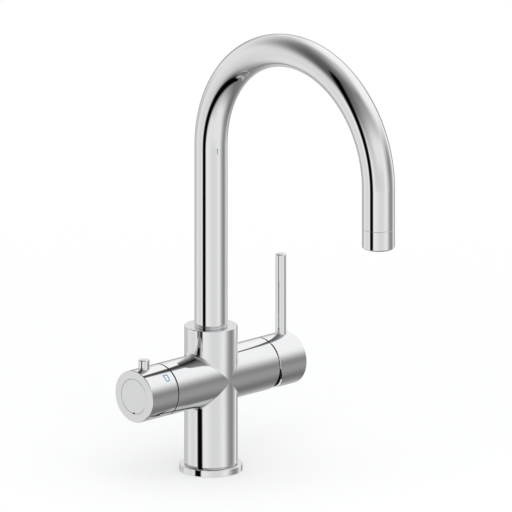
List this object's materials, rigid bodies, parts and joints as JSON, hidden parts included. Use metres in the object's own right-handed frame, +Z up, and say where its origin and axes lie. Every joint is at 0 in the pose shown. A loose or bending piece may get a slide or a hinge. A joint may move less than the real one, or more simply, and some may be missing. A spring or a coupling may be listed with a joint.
{
  "type": "filter kitchen mixer tap",
  "caption": "Chrome kitchen mixer tap with a high swivel arch spout, a side lever for mixed water and a side knob for filtered water.",
  "frame": {"origin": "centre of the column's underside, on the face that stands on the worktop or sink", "axes": "+Z up along the column, spout reaching towards -Y, mixer lever on +X, filter knob on -X"},
  "size_m": [0.184, 0.241, 0.3979],
  "materials": {
    "body_chrome": "polished chrome plating",
    "raw_brass": "machined",
    "steel": "stainless, machined",
    "ceramic": "lapped",
    "seal_rubber": "matte",
    "grey_plastic": "satin",
    "dark_plastic": "satin",
    "white_plastic": "satin"
  },
  "bodies": {
    "tap_body": {"mixer_body": "body_chrome", "base_ring": "body_chrome", "base_gasket": "seal_rubber", "glide_ring": "body_chrome", "retaining_screw": "steel", "filtered_nipple": "raw_brass", "nipple_seal": "seal_rubber", "cartridge_base": "dark_plastic", "cartridge_seals": "seal_rubber", "mixer_fixed_disc": "ceramic", "cartridge_housing": "dark_plastic", "cartridge_nut": "raw_brass", "valve_body": "raw_brass", "valve_seat_seal": "seal_rubber", "valve_flange_seal": "seal_rubber", "valve_fixed_disc": "ceramic"},
    "spout": {"spout_tube": "body_chrome", "spout_insert": "raw_brass", "spout_seals": "seal_rubber", "filtered_tube": "white_plastic", "outlet_adapter": "raw_brass", "outlet_sleeve": "body_chrome", "aerator_seal": "seal_rubber", "aerator_insert": "grey_plastic", "aerator_screen": "steel", "filtered_nozzle": "grey_plastic"},
    "cartridge_turn": {"cartridge_rotor": "dark_plastic", "pivot_pin": "steel"},
    "mixer_disc": {"mixer_moving_disc": "ceramic", "disc_carrier": "white_plastic"},
    "lever": {"lever_stem": "steel", "lever_cap": "body_chrome", "lever_rod": "body_chrome", "lever_grub_screw": "steel", "lever_plug": "grey_plastic"},
    "filter_control": {"valve_moving_disc": "ceramic", "valve_spindle": "raw_brass", "spindle_seal": "seal_rubber", "spindle_circlip": "steel", "filter_knob": "body_chrome", "knob_peg": "body_chrome", "knob_screw": "steel", "knob_cover": "body_chrome"}
  },
  "joints": [
    {"name": "spout_swivel", "type": "hinge", "parent": "tap_body", "child": "spout", "pos_m": [0, 0, 0.115], "axis": [0, 0, 1], "range_deg": [-150, 150]},
    {"name": "lever_turn", "type": "hinge", "parent": "tap_body", "child": "cartridge_turn", "pos_m": [0.0609, 0, 0.0808], "axis": [1, 0, 0], "range_deg": [-45, 45]},
    {"name": "lever_tilt", "type": "hinge", "parent": "cartridge_turn", "child": "lever", "pos_m": [0.0609, 0, 0.0808], "axis": [0, 1, 0], "range_deg": [0, 18]},
    {"name": "disc_slide", "type": "slide", "parent": "cartridge_turn", "child": "mixer_disc", "axis": [0, 0, 1], "range_m": [0, 0.004]},
    {"name": "filter_turn", "type": "hinge", "parent": "tap_body", "child": "filter_control", "pos_m": [-0.0609, 0, 0.0808], "axis": [1, 0, 0], "range_deg": [0, 90]}
  ],
  "couplings": [
    {"joint": "disc_slide", "follows": "lever_tilt", "m_per_rad": 0.01269}
  ]
}
